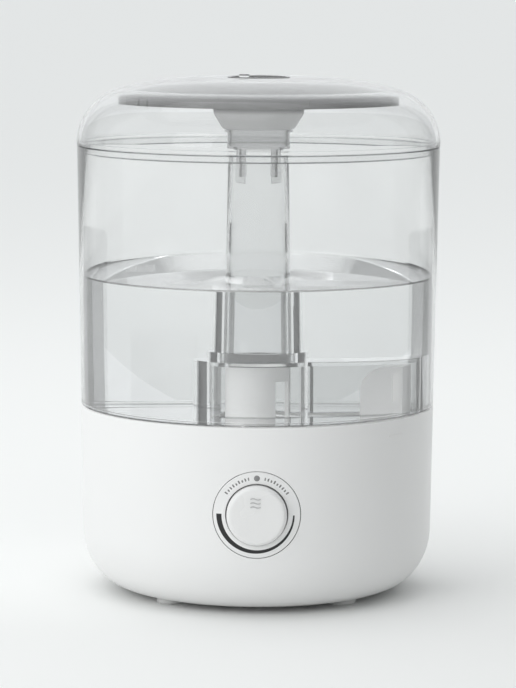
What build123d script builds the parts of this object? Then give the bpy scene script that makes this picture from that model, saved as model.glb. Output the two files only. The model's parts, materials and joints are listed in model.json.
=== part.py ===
from build123d import *
from math import cos, radians, sin, sqrt, tan
import os

# A top-fill ultrasonic humidifier: a white base, a clear tank lifted off upwards, and a clear lid.
# Millimetres, +Z up, the dial on the -Y side. The origin is on the vertical axis, on the ground.

# Overall sizes
body_radius = 85.4          # outside of the base at its rim
base_height = 90.7          # ground to the base's rim
tank_height = 124.9         # base rim to the lid's seam
lid_height = 32.8           # lid's seam to its top
foot_drop = 2.6             # how far the feet stand out below the base

# Base shell
base_wall = 2.4
base_draft = 0.8            # how much narrower the wall is at its foot than at the rim
corner_reach = 22.0         # bottom corner, inwards
corner_rise = 28.4          # bottom corner, upwards
ledge_width = 10.0          # ring inside the wall that carries the deck
ledge_thickness = 2.4
rim_to_deck = 3.5           # base rim down to the deck's flange
cover_thickness = 2.4
cover_lip = 9.0             # how far the shell's bottom ring overlaps the cover

# Tank
tank_flare = 1.9            # how much wider the tank is at its top than the base's rim
tank_wall = 2.1
floor_thickness = 2.5
tank_sink = 2.1             # how far the floor drops inside the base's rim
weld_rise = 1.5             # tank's foot up to the weld between its floor and its wall
seam_gap = 0.3              # open line between tank and base, and between lid and tank

# Air chamber moulded in the tank's floor
chamber_radius = 23.0
chamber_wall = 1.8
chamber_rise = 25.0         # floor to the chamber's top
channel_width = 26.0
channel_end = 66.0          # how far the channel reaches from the axis
channel_corner = 6.0

# Mist tube
tube_top_radius = 14.7
tube_foot_radius = 16.2
tube_wall = 2.0
tube_below_seam = 9.3       # tube's top below the lid's seam
collar_height = 4.0
collar_wall = 1.8

# Lid
lid_wall = 2.0
lid_overhang = 0.2          # lid's rim wider than the tank's
shoulder_reach = 27.4       # shoulder's ellipse, inwards
shoulder_rise = 27.8        # shoulder's ellipse, upwards
shoulder_turn = 77.0        # degrees of the ellipse before the crown starts
outlet_radius = 13.3
outlet_lip = 0.5
skirt_drop = 3.7            # lid's locating ring, down into the tank
skirt_wall = 1.6
plate_margin = 20.2         # lid's rim to the plate's edge
plate_skirt = 4.1
plate_wall = 1.7
plate_gap = 0.8             # below the dome's inside
funnel_radius = 23.0
funnel_depth = 21.4
funnel_bend_radius = 21.7   # where the funnel's steep neck turns into its cup
funnel_bend_rise = 8.2      # the bend above the funnel's foot
cup_radius = 18.1
nozzle_radius = 15.2
nozzle_length = 10.0
nozzle_wall = 1.6
nozzle_flange = 1.3
finger_radius = 12.2
finger_wall = 1.6
finger_reach = 20.0
finger_width = 5.3
finger_count = 4

# Dial on the front
dial_z = 50.0
knob_radius = 14.0
knob_bevel = 1.4
dial_band = 6.2             # dial plate's edge outside the knob
knob_stand_out = 3.6        # knob's face in front of the base's widest front line
knob_gap = 0.55
dial_flange = 2.6
dial_flange_thickness = 1.5
well_depth = 10.2           # base's widest front line back to the well's floor
well_floor_thickness = 1.8
well_wall = 1.5
shaft_radius = 3.0
shaft_clearance = 0.05
bushing_radius = 3.5
led_radius = 1.4
led_gap = 3.2               # lens above the knob's edge
post_gap = 6.0              # control board's posts outside the knob's edge
board_depth = 7.0           # well's floor back to the control board

# Basin and what stands in it
basin_margin = 21.5         # base's outside to the basin's wall
basin_depth = 15.0
deck_thickness = 2.4
flange_thickness = 3.0
cowl_radius = 15.6
cowl_wall = 1.6
cowl_headroom = 0.6
tower_low_x = 38.5
tower_high_x = 56.0
tower_width = 15.0
tower_round = 9.5
tower_wall = 1.6
tower_headroom = 1.6
fan_size = 45.0
fan_height = 11.0
fan_bore = 20.5
fan_x = 42.0
fan_drop = 27.6             # fan's foot below the deck's underside
disc_radius = 12.0
disc_thickness = 1.2
sump_radius = 9.5
float_x = -34.0
float_y = -34.0
float_radius = 11.0
float_height = 9.0
float_travel = 4.5
post_radius = 4.2
valve_x = -36.8
valve_y = 30.9
valve_bore = 9.0
neck_wall = 3.0
valve_travel = 3.7
stem_radius = 1.8

# Feet, screws and fits
foot_radius = 6.6
cover_margin = 33.4         # base's outside to the cover's edge
foot_margin = 27.7          # base's outside to the feet's circle
foot_count = 4
screw_radius = 1.25
fit_gap = 0.1               # between pieces that are fixed to each other
slip_gap = 0.4              # between pieces that lift apart

# Places worked out from those sizes
low_radius = body_radius - base_draft
basin_radius = body_radius - basin_margin
foot_circle = body_radius - foot_margin
cover_radius = body_radius - cover_margin
dial_radius = knob_radius + dial_band
led_z = dial_z + knob_radius + led_gap
shell_floor = foot_drop + 2 * cover_thickness
rim_z = base_height
seam_z = rim_z + tank_height
top_z = seam_z + lid_height
tank_top_radius = body_radius + tank_flare
lid_radius = tank_top_radius + lid_overhang
plate_radius = lid_radius - plate_margin
floor_low = rim_z - tank_sink
floor_top = floor_low + floor_thickness
chamber_top = floor_top + chamber_rise
chamber_ceiling = chamber_top - chamber_wall
deck_top = rim_z - rim_to_deck
ledge_top = deck_top - flange_thickness
basin_floor = deck_top - basin_depth
deck_under = basin_floor - deck_thickness
deck_radius = body_radius - base_wall - slip_gap
fan_low = deck_under - fan_drop
fan_top = fan_low + fan_height
tube_top = seam_z - tube_below_seam
knob_front = -(body_radius + knob_stand_out)
well_floor_y = well_depth - body_radius
board_y = well_floor_y + board_depth
behind_y = board_y + 15     # well behind the dial, for cuts
ahead_y = -body_radius - 15 # well in front of it
board_thickness = 1.6
drive_z = deck_under - 15.6

os.makedirs("parts", exist_ok=True)


def disc(radius, low, high, x=0.0, y=0.0):
    """Upright cylinder from one height to another."""
    return Pos(x, y, (low + high) / 2) * Cylinder(radius, high - low)


def ring(outer, inner, low, high, x=0.0, y=0.0):
    """Upright tube from one height to another."""
    return disc(outer, low, high, x, y) - disc(inner, low - 1, high + 1, x, y)


def front_disc(radius, back, front, x=0.0, z=0.0):
    """Cylinder along Y, from the front's y to the back's y."""
    return Pos(x, (back + front) / 2, z) * Rot(90, 0, 0) * Cylinder(radius, back - front)


def side_disc(radius, low, high, y=0.0, z=0.0):
    """Cylinder along X."""
    return Pos((low + high) / 2, y, z) * Rot(0, 90, 0) * Cylinder(radius, high - low)


def block(x0, x1, y0, y1, z0, z1):
    """Box between two corners."""
    return Pos((x0 + x1) / 2, (y0 + y1) / 2, (z0 + z1) / 2) * Box(x1 - x0, y1 - y0, z1 - z0)


def turned(points):
    """Solid of revolution from radius and height pairs."""
    outline = Polyline(*points, close=True)
    return revolve(Plane.XZ * make_face(outline), Axis.Z)


def around(count, radius, start=0.0):
    """Places evenly round the axis, as x and y pairs."""
    turns = [radians(start + 360 * step / count) for step in range(count)]
    return [(radius * cos(turn), radius * sin(turn)) for turn in turns]


def joined(pieces):
    """One compound of separate solids."""
    return Compound(children=list(pieces))


def fused(pieces):
    """The pieces as one solid."""
    whole = pieces[0]
    for piece in pieces[1:]:
        whole = whole + piece
    return whole


def base_form(inset, top=rim_z):
    """The base's outside as a solid, drawn in by inset, up to the height top."""
    low = foot_drop + inset
    corner_z = foot_drop + corner_rise
    corner_x = low_radius - corner_reach
    floor_line = Line((0, low), (corner_x, low))
    corner = EllipticalCenterArc(
        (corner_x, corner_z), corner_reach - inset, corner_rise - inset, start_angle=-90, arc_size=90
    )
    wall = Line((low_radius - inset, corner_z), (body_radius - inset, rim_z))
    upper = [(body_radius - inset, rim_z), (body_radius - inset, top), (0, top), (0, low)]
    if top == rim_z:
        upper = upper[1:]
    outline = Curve() + [floor_line, corner, wall, Polyline(*upper)]
    return revolve(Plane.XZ * make_face(outline), Axis.Z)


def front_line(z, inset=0.0):
    """Radius of the base's outside at a height."""
    corner_z = foot_drop + corner_rise
    if z >= corner_z:
        return low_radius - inset
    drop = (corner_z - z) / (corner_rise - inset)
    return low_radius - corner_reach + (corner_reach - inset) * sqrt(1 - drop * drop)


# ---- Base shell ----

recess_z = 13.5
recess_half_width = 24.0
recess_half_height = 8.0
recess_depth = 6.4
recess_wall = 1.6
recess_floor_x = front_line(recess_z) - recess_depth
jack_radius = 4.1
boss_circle = cover_radius - 4.5
boss_radius = 3.6
boss_height = 10.0
slot_count = 7
slot_first_x = 8.0
slot_pitch = 4.2
slot_half = 1.1
slot_reach = 16.5
cover_screw_places = around(4, boss_circle, 60)
deck_screw_circle = body_radius - base_wall - 3.8
deck_screw_places = around(6, deck_screw_circle, 30)


def oval(half_width, half_height, x0, x1):
    """Oval bar along X at the recess's place."""
    shape = Plane.YZ * Ellipse(half_width, half_height)
    return Pos(x0, 0, recess_z) * extrude(shape, x1 - x0)


def base_housing():
    inner_top = rim_z + 5
    shell = base_form(0) - base_form(base_wall, inner_top)
    wide = body_radius - base_wall + 1
    ledge = ring(wide, wide - 1 - ledge_width, ledge_top - ledge_thickness, ledge_top)
    lip = ring(cover_radius + 4, cover_radius - cover_lip, foot_drop + 0.2, shell_floor)
    cup = oval(recess_half_width + recess_wall, recess_half_height + recess_wall,
               recess_floor_x - recess_wall, body_radius)
    added = (ledge + cup) & base_form(base_wall / 2)
    shell = shell + added + lip
    for x, y in cover_screw_places:
        shell = shell + disc(boss_radius, shell_floor - 1, shell_floor + boss_height, x, y)
        shell = shell - disc(screw_radius, foot_drop, shell_floor + boss_height - 1, x, y)
    for x, y in deck_screw_places:
        shell = shell - disc(screw_radius + fit_gap, ledge_top - 5, ledge_top + 1, x, y)
    shell = shell - disc(cover_radius + fit_gap, foot_drop - 1, foot_drop + cover_thickness)
    shell = shell - disc(cover_radius - cover_lip, foot_drop - 1, shell_floor + 1)
    shell = shell - oval(recess_half_width, recess_half_height, recess_floor_x, body_radius + 5)
    shell = shell - side_disc(jack_radius + fit_gap, recess_floor_x - 4, body_radius, 0, recess_z)
    shell = shell - front_disc(dial_radius + 0.25, behind_y, ahead_y, 0, dial_z)
    return shell


def bottom_cover():
    cover = disc(cover_radius - fit_gap, foot_drop, foot_drop + cover_thickness)
    for step in range(slot_count):
        slot_x = slot_first_x + slot_pitch * step
        cover = cover - block(slot_x - slot_half, slot_x + slot_half, -slot_reach, slot_reach, 0, 10)
    for x, y in cover_screw_places:
        cover = cover - disc(screw_radius + fit_gap, 0, 10, x, y)
        cover = cover - disc(3.1, foot_drop - 1, foot_drop + 1.4, x, y)
    return cover


def screw(x, y, head_low, head_high, tip, head_radius=2.6):
    """Pan-head screw; tip is the height of its point."""
    head = disc(head_radius, head_low, head_high, x, y)
    shank = disc(screw_radius, min(head_high, tip), max(head_low, tip), x, y)
    return head + shank


def cover_screws():
    low = foot_drop + 0.2
    high = foot_drop + 1.4
    return joined(screw(x, y, low, high, shell_floor + 7) for x, y in cover_screw_places)


def rubber_feet():
    feet = []
    for x, y in around(foot_count, foot_circle, 45):
        foot = disc(foot_radius, 0, foot_drop, x, y)
        foot = chamfer(foot.edges().group_by(Axis.Z)[0], 0.6)
        feet.append(foot)
    return joined(feet)


def intake_filter():
    low = foot_drop + cover_thickness
    reach = slot_reach + 1.5
    last_x = slot_first_x + slot_pitch * (slot_count - 1)
    return block(slot_first_x - 3, last_x + 3, -reach, reach, low, low + 2)


# ---- Deck, seal and what hangs below it ----

sump_boss = 18.0
sump_low = deck_under - 5.2
disc_high = deck_under - 3.8
disc_low = disc_high - disc_thickness
seal_high = disc_high + 1.2
clamp_circle = 15.3
clamp_places = around(3, clamp_circle, 90)
duct_top_radius = 9.6
duct_wall = 1.5
seal_circle = deck_screw_circle - 4.6
board_posts = [(-26, 28), (18, 28), (-26, 54), (18, 54)]


def base_deck():
    flange = ring(deck_radius, basin_radius, ledge_top, deck_top)
    basin = disc(basin_radius + deck_thickness, deck_under, deck_top)
    basin = basin - disc(basin_radius, basin_floor, deck_top + 1)
    deck = flange + basin + disc(sump_boss, sump_low, basin_floor)
    deck = deck - disc(disc_radius + 0.4, sump_low - 1, seal_high)
    deck = deck - disc(sump_radius, sump_low, basin_floor + 1)
    for x, y in clamp_places:
        deck = deck - disc(screw_radius, sump_low - 1, sump_low + 5, x, y)
    deck = deck - disc(duct_top_radius - duct_wall, deck_under - 1, basin_floor + 1, fan_x + 4, 0)
    deck = deck - disc(post_radius - 1.6, deck_under - 1, basin_floor + 1, float_x, float_y)
    deck = deck + disc(2.2, basin_floor - 1, basin_floor + 4.5, valve_x, valve_y)
    for x, y in board_posts:
        deck = deck + disc(3, drive_z, deck_under + 1, x, y)
        deck = deck - disc(screw_radius, drive_z - 1, drive_z + 8, x, y)
    for x, y in deck_screw_places:
        deck = deck - disc(screw_radius, ledge_top - 1, deck_top - 0.4, x, y)
    return deck - ring(seal_circle + 0.9, seal_circle - 0.9, ledge_top - 2, ledge_top + 1)


def deck_seal():
    return ring(seal_circle + 0.9, seal_circle - 0.9, ledge_top, ledge_top + 1)


def deck_screws():
    high = ledge_top - ledge_thickness
    return joined(screw(x, y, high - 1.6, high, deck_top - 0.6) for x, y in deck_screw_places)


def mist_cowl():
    top = chamber_ceiling - cowl_headroom
    cowl = ring(cowl_radius, cowl_radius - cowl_wall, basin_floor, top)
    cowl = cowl + ring(cowl_radius + 2.6, cowl_radius - cowl_wall, basin_floor, basin_floor + 1.4)
    # Windows on the channel's side; turns count from the front towards +X.
    window_low = basin_floor + 12
    window_high = top - 6.5
    for start, end in [(29, 61), (92, 150)]:
        cowl = cowl - wedge(start, end, window_low, window_high)
    # Water slots all round the foot.
    for middle in range(0, 360, 45):
        cowl = cowl - wedge(middle - 9, middle + 9, basin_floor + 2.2, basin_floor + 8)
    return cowl


def wedge(start, end, low, high):
    """Sector for cutting, its turns counted from the front towards +X."""
    reach = 2 * cowl_radius
    corners = [(0, 0)]
    for turn in (start, (start + end) / 2, end):
        corners.append((reach * sin(radians(turn)), -reach * cos(radians(turn))))
    return Pos(0, 0, low) * extrude(make_face(Polyline(*corners, close=True)), high - low)


def tower_form(inset, low, top):
    """Hooded bar, rounded on the side that faces the mist."""
    x0 = tower_low_x + inset
    x1 = tower_high_x - inset
    round_radius = tower_round - inset
    side = Line((x0, low), (x0, top - round_radius))
    hood = CenterArc((x0 + round_radius, top - round_radius), round_radius, 180, -90)
    rest = Polyline((x0 + round_radius, top), (x1, top), (x1, low), (x0, low))
    face = Plane.XZ * make_face(Curve() + [side, hood, rest])
    half = tower_width / 2 - inset
    return extrude(face, half, both=True)


def air_tower():
    top = chamber_ceiling - tower_headroom
    flange = block(tower_low_x - 1.8, tower_high_x + 1.8, -tower_width / 2 - 2, tower_width / 2 + 2,
                   basin_floor, basin_floor + 2)
    tower = tower_form(0, basin_floor, top) + flange
    tower = tower - tower_form(tower_wall, basin_floor - 1, top - tower_wall)
    slot = block(tower_high_x - 4.8, tower_high_x - 1.8 + fit_gap, -20, 20, top - 16, top - 3.2)
    return tower - slot


def air_duct():
    plate_low = fan_top
    cone_low = plate_low + 2
    cone_high = deck_under - 1.6
    half = fan_size / 2
    plate = block(fan_x - half, fan_x + half, -half, half, plate_low, cone_low)
    outer = loft([
        Pos(fan_x, 0, cone_low) * Circle(fan_bore + duct_wall),
        Pos(fan_x + 4, 0, cone_high) * Circle(duct_top_radius),
    ])
    inner = loft([
        Pos(fan_x, 0, cone_low) * Circle(fan_bore),
        Pos(fan_x + 4, 0, cone_high) * Circle(duct_top_radius - duct_wall),
    ])
    collar = ring(duct_top_radius, duct_top_radius - duct_wall, cone_high, deck_under, fan_x + 4, 0)
    duct = plate - disc(fan_bore, plate_low - 1, cone_low + 1, fan_x, 0)
    duct = duct + (outer - inner) + collar
    for x, y in fan_screw_places:
        duct = duct - disc(screw_radius + fit_gap, plate_low - 1, cone_low + 1, x, y)
    return duct


# ---- Fan ----

fan_screw_places = [(fan_x + sx * 18.8, sy * 18.8) for sx in (-1, 1) for sy in (-1, 1)]
fan_shaft_radius = 1.0
bearing_radius = 2.6
hub_radius = 9.6
blade_count = 7


def fan_frame():
    half = fan_size / 2
    frame = block(fan_x - half, fan_x + half, -half, half, fan_low, fan_top)
    frame = frame - disc(fan_bore, fan_low - 1, fan_top + 1, fan_x, 0)
    frame = frame + disc(hub_radius, fan_low, fan_low + 1.4, fan_x, 0)
    for step in range(4):
        strut = Rot(0, 0, 45 + 90 * step) * Pos((hub_radius + fan_bore) / 2, 0, 0)
        strut = strut * Box(fan_bore - hub_radius + 2, 2.4, 1.4)
        frame = frame + Pos(fan_x, 0, fan_low + 0.7) * strut
    frame = frame + disc(bearing_radius, fan_low, fan_low + 8, fan_x, 0)
    frame = frame - disc(fan_shaft_radius + shaft_clearance, fan_low + 1, fan_top, fan_x, 0)
    for x, y in fan_screw_places:
        frame = frame - disc(screw_radius + fit_gap, fan_low - 1, fan_top + 1, x, y)
    return frame


def fan_stator():
    low = fan_low + 2
    stator = ring(4.2, bearing_radius, low, low + 5, fan_x, 0)
    for step in range(4):
        pole = Rot(0, 0, 90 * step) * Pos(5.2, 0, 0) * Box(3.2, 4.4, 4.0)
        stator = stator + Pos(fan_x, 0, low + 2.5) * pole
    return stator


def fan_screws():
    pieces = []
    for x, y in fan_screw_places:
        pieces.append(screw(x, y, fan_low - 1.6, fan_low, fan_top + 1.8))
    return joined(pieces)


def fan_impeller():
    low = fan_low + 2.2
    high = fan_low + 10
    hub = ring(hub_radius, hub_radius - 1.3, low, high, fan_x, 0)
    hub = hub + disc(hub_radius, high - 1.4, high, fan_x, 0)
    for step in range(blade_count):
        reach = fan_bore - 0.9 - hub_radius + 1
        blade = Rot(0, 0, 360 * step / blade_count) * Pos(hub_radius - 1 + reach / 2, 0, 0)
        blade = blade * Rot(38, 0, 0) * Box(reach, 10.5, 1.0)
        hub = hub + Pos(fan_x, 0, (low + high) / 2) * blade
    return hub


def rotor_magnet():
    low = fan_low + 2.4
    outer = hub_radius - 1.3
    return ring(outer, outer - 0.9, low, low + 5, fan_x, 0)


def fan_shaft():
    return disc(fan_shaft_radius, fan_low + 1.4, fan_low + 8.6, fan_x, 0)


# ---- Mist maker ----


def transducer_disc():
    return disc(disc_radius, disc_low, disc_high)


def transducer_seal():
    return ring(disc_radius, sump_radius, disc_high, seal_high)


def transducer_clamp():
    clamp = ring(sump_boss - 0.4, sump_radius - 0.5, sump_low - 2, sump_low)
    clamp = clamp + ring(disc_radius, sump_radius - 0.5, sump_low - 1, disc_low)
    for x, y in clamp_places:
        clamp = clamp - disc(screw_radius + fit_gap, sump_low - 5, sump_low + 5, x, y)
    return clamp


def clamp_screws():
    high = sump_low - 2
    return joined(screw(x, y, high - 1.6, high, sump_low + 4.5, 2.4) for x, y in clamp_places)


def drive_board():
    board = block(-30, 22, 24, 58, drive_z - board_thickness, drive_z)
    for x, y in board_posts:
        board = board - disc(screw_radius + fit_gap, drive_z - 5, drive_z + 5, x, y)
    return board


def heat_sink():
    sink = block(-16, 8, 35, 47, drive_z, drive_z + 2.5)
    for step in range(6):
        fin_x = -15 + 4.4 * step
        sink = sink + block(fin_x - 0.6, fin_x + 0.6, 35, 47, drive_z + 2, drive_z + 12)
    return sink


def board_parts():
    capacitor = disc(4, drive_z, drive_z + 9, 14, 42)
    coil = ring(4.5, 1.8, drive_z, drive_z + 6, -24, 41)
    chip = block(-8, 2, 50, 56, drive_z, drive_z + 2)
    return joined([capacitor, coil, chip])


def board_screws():
    low = drive_z - board_thickness
    return joined(screw(x, y, low - 1.6, low, drive_z + 7, 2.4) for x, y in board_posts)


# ---- Dial ----

post_circle = knob_radius + post_gap
control_places = [(sx * 0.8 * post_circle, dial_z + sz * 0.6 * post_circle) for sx in (-1, 1) for sz in (-1, 1)]


def dial_plate():
    thick = base_wall + dial_flange_thickness
    shell = base_form(0) - base_form(thick, rim_z + 5)
    plate = shell & front_disc(dial_radius, behind_y, ahead_y, 0, dial_z)
    inner = base_form(base_wall + fit_gap) - base_form(thick, rim_z + 5)
    plate = plate + (inner & front_disc(dial_radius + dial_flange, behind_y, ahead_y, 0, dial_z))
    well_radius = knob_radius + knob_gap
    well_low = well_floor_y - well_floor_thickness
    cup = front_disc(well_radius + well_wall, well_floor_y, -body_radius, 0, dial_z)
    posts = [front_disc(2.6, board_y, -body_radius, x, z) for x, z in control_places]
    behind = fused([cup] + posts) & base_form(base_wall)
    plate = plate + behind
    plate = plate - front_disc(well_radius, well_low, ahead_y, 0, dial_z)
    plate = plate - front_disc(bushing_radius + fit_gap, behind_y, ahead_y, 0, dial_z)
    plate = plate - front_disc(led_radius + shaft_clearance, behind_y, ahead_y, 0, led_z)
    for x, z in control_places:
        plate = plate - front_disc(screw_radius, board_y + 1, board_y - 6, x, z)
    return plate


def led_lens():
    front = -sqrt(low_radius ** 2 - led_radius ** 2) - 0.1
    return front_disc(led_radius, board_y - 1.4, front, 0, led_z)


def indicator_led():
    return block(-1.6, 1.6, board_y - 1.3, board_y, led_z - 1.0, led_z + 1.0)


def knob_cap():
    back = well_floor_y - well_floor_thickness - 1.6
    skirt = front_disc(knob_radius, back, knob_front, 0, dial_z)
    rim = skirt.edges().sort_by(Axis.Y)[0]
    knob = chamfer(rim, knob_bevel)
    hollow_front = knob_front + 4.6
    hollow = front_disc(knob_radius - 2.2, back + 1, hollow_front, 0, dial_z)
    boss = front_disc(5.6, back - 2, hollow_front - 1, 0, dial_z)
    knob = knob - hollow + boss
    return knob - front_disc(shaft_radius, back + 1, knob_front + 2.4, 0, dial_z)


def pot_shaft():
    return front_disc(shaft_radius, board_y - 1.5, knob_front + 2.4, 0, dial_z)


def pot_body():
    bushing_front = well_floor_y - well_floor_thickness - 2.4
    body = front_disc(8.5, board_y, well_floor_y, 0, dial_z)
    body = body + front_disc(bushing_radius, board_y - 2, bushing_front, 0, dial_z)
    return body - front_disc(shaft_radius + shaft_clearance, board_y - 1.2, ahead_y, 0, dial_z)


def pot_nut():
    back = well_floor_y - well_floor_thickness
    shape = RegularPolygon(5.6, 6)
    nut = Pos(0, back - 1.9, dial_z) * Rot(-90, 0, 0) * extrude(shape, 1.9)
    return nut - front_disc(bushing_radius, back + 1, back - 5, 0, dial_z)


def control_board():
    half = 0.8 * post_circle + 5.6
    board = block(-half, half, board_y, board_y + board_thickness, dial_z - post_circle + 3, led_z + 2)
    for x, z in control_places:
        board = board - front_disc(screw_radius + fit_gap, board_y + 5, board_y - 5, x, z)
    return board


def control_screws():
    back = board_y + board_thickness
    pieces = []
    for x, z in control_places:
        head = front_disc(2.4, back + 1.6, back, x, z)
        pieces.append(head + front_disc(screw_radius, back + 0.5, board_y - 5, x, z))
    return joined(pieces)


# ---- Power inlet in the side recess ----


def dc_inlet():
    front = recess_floor_x + 1.0
    inner = recess_floor_x - recess_wall
    jack = side_disc(jack_radius, inner - 2, front, 0, recess_z)
    jack = jack + block(inner - 12, inner, -5.5, 5.5, recess_z - 4.8, recess_z + 5.5)
    return jack - side_disc(2.9, front - 9.5, front + 1, 0, recess_z)


def inlet_pin():
    front = recess_floor_x + 1.0
    return side_disc(1.05, front - 9.5, front - 0.8, 0, recess_z)


# ---- Low-water switch ----

float_low = basin_floor + 1.4


def float_guide():
    top = float_low + float_height + float_travel + 0.3
    guide = disc(post_radius, basin_floor, top, float_x, float_y)
    guide = guide + disc(7.5, basin_floor, basin_floor + 1.2, float_x, float_y)
    return guide - disc(post_radius - 1.6, basin_floor - 1, top - 1.2, float_x, float_y)


def float_clip():
    top = float_low + float_height + float_travel + 0.3
    return disc(6.4, top, top + 0.8, float_x, float_y)


def reed_switch():
    return disc(1.3, deck_under, basin_floor + 5, float_x, float_y)


def float_ring():
    ring_float = ring(float_radius, post_radius + slip_gap, float_low, float_low + float_height,
                      float_x, float_y)
    return ring_float - ring(7.4, 5.6, float_low + 3, float_low + 6, float_x, float_y)


def float_magnet():
    return ring(7.4, 5.6, float_low + 3, float_low + 6, float_x, float_y)


# ---- Tank ----


def chamber_form(inset, low, high):
    """The air chamber's outline as a solid: a round part and a channel towards +X."""
    half = channel_width / 2 - inset
    end = channel_end - inset
    bar = block(0, end, -half, half, low, high)
    corners = bar.edges().filter_by(Axis.Z).sort_by(Axis.X)[-2:]
    bar = fillet(corners, channel_corner - inset)
    return disc(chamber_radius - inset, low, high) + bar


neck_radius = valve_bore + neck_wall
neck_low = basin_floor + 6.0


weld_z = rim_z + seam_gap + weld_rise
weld_radius = body_radius + tank_flare * weld_rise / (seam_z - rim_z - seam_gap)


def tank_shell():
    return turned([
        (weld_radius, weld_z), (tank_top_radius, seam_z),
        (tank_top_radius - tank_wall, seam_z), (weld_radius - tank_wall, weld_z),
    ])


def tank_floor():
    edge_low = rim_z + seam_gap
    sunk_radius = body_radius - base_wall - 1.0
    plate = turned([
        (0, floor_low), (sunk_radius, floor_low), (sunk_radius, edge_low), (body_radius, edge_low),
        (weld_radius, weld_z), (weld_radius - tank_wall, weld_z), (body_radius - tank_wall, floor_top),
        (0, floor_top),
    ])
    plate = plate + chamber_form(0, floor_low, chamber_top)
    plate = plate - chamber_form(chamber_wall, floor_low - 1, chamber_ceiling)
    collar_inner = tube_foot_radius + fit_gap
    collar_outer = collar_inner + collar_wall
    plate = plate + ring(collar_outer, collar_inner, chamber_top - 0.5, chamber_top + collar_height)
    plate = plate - disc(tube_foot_radius - tube_wall, chamber_ceiling - 1, chamber_top + 1)
    plate = plate + disc(neck_radius, neck_low, floor_low + 1, valve_x, valve_y)
    return plate - disc(valve_bore, neck_low - 1, floor_top + 1, valve_x, valve_y)


def mist_tube():
    return turned([
        (tube_foot_radius, chamber_top), (tube_top_radius, tube_top),
        (tube_top_radius - tube_wall, tube_top), (tube_foot_radius - tube_wall, chamber_top),
    ])


# ---- Tank valve, held open while the tank stands on the base ----

cap_floor = neck_low - 1.5
cap_low = cap_floor - 2.0
plunger_low = cap_floor + 0.1 + valve_travel
plunger_seal_thickness = 1.2
plunger_thickness = 1.6
plunger_high = plunger_low + plunger_seal_thickness + plunger_thickness
cage_low = floor_low + 0.2


def valve_cap():
    cap = disc(neck_radius + 1.6, cap_low, floor_low - 0.5, valve_x, valve_y)
    cap = cap - disc(neck_radius + fit_gap, cap_floor, floor_low, valve_x, valve_y)
    return cap - disc(4, cap_low - 1, cap_floor + 1, valve_x, valve_y)


def valve_cap_seal():
    return ring(neck_radius, valve_bore + 0.6, cap_floor, neck_low, valve_x, valve_y)


def valve_cage():
    cage = ring(valve_bore - 0.05, valve_bore - 1.1, cage_low, floor_top, valve_x, valve_y)
    cage = cage + ring(4.6, stem_radius + slip_gap, cage_low, floor_top, valve_x, valve_y)
    reach = (valve_bore - 0.5 + 3.6) / 2
    for step in range(3):
        arm = Rot(0, 0, 90 + 120 * step) * Pos(reach, 0, 0) * Box(valve_bore - 4.1, 1.8, floor_top - cage_low)
        cage = cage + Pos(valve_x, valve_y, (cage_low + floor_top) / 2) * arm
    return cage


def valve_spring():
    wire = 0.35
    height = cage_low - plunger_high - 2 * wire - 0.1
    path = Helix(height / 3, height, 3.4)
    section = Plane(origin=path @ 0, z_dir=path % 0) * Circle(wire)
    return Pos(valve_x, valve_y, plunger_high + wire + 0.05) * sweep(section, path=path)


def valve_plunger():
    stem_low = cap_floor + 0.3
    plunger = disc(stem_radius, stem_low, floor_top - 0.9, valve_x, valve_y)
    return plunger + disc(6.2, plunger_low + plunger_seal_thickness, plunger_high, valve_x, valve_y)


def plunger_seal():
    return ring(6.2, stem_radius, plunger_low, plunger_low + plunger_seal_thickness, valve_x, valve_y)


# ---- Lid ----

lid_edge = seam_z + seam_gap
shoulder_x = lid_radius - shoulder_reach
plate_inset = lid_wall + plate_gap
mouth_z = top_z - outlet_lip - plate_inset
funnel_low = mouth_z - funnel_depth
nozzle_low = funnel_low - nozzle_length


def dome_form(inset):
    """The dome as a solid, drawn in by inset: rounded shoulder, then a shallow crown to the outlet."""
    high = top_z - outlet_lip - inset
    shoulder = EllipticalCenterArc(
        (shoulder_x, lid_edge), shoulder_reach - inset, shoulder_rise - inset,
        start_angle=0, arc_size=shoulder_turn,
    )
    crown = TangentArc(shoulder @ 1, (outlet_radius, high), tangent=shoulder % 1)
    rest = Polyline((outlet_radius, high), (0, high), (0, lid_edge), (lid_radius - inset, lid_edge))
    return revolve(Plane.XZ * make_face(Curve() + [shoulder, crown, rest]), Axis.Z)


def lid_dome():
    skirt_radius = tank_top_radius - tank_wall - slip_gap
    skirt = ring(skirt_radius, skirt_radius - skirt_wall, seam_z - skirt_drop, lid_edge + 1.6)
    ledge = ring(lid_radius - 1, skirt_radius - skirt_wall, lid_edge, lid_edge + 1.6)
    dome = (dome_form(0) - dome_form(lid_wall)) + skirt + ledge
    dome = dome - disc(outlet_radius, lid_edge + 5, top_z + 5)
    lip = ring(outlet_radius + 1.8, outlet_radius, top_z - outlet_lip - lid_wall, top_z)
    nub = Pos(-outlet_radius - 0.6, 0, top_z) * Rot(0, 0, 90) * Box(5, 2.0, 2.0)
    return dome + lip + (Pos(6.2, -8.5, 0) * nub)


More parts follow.
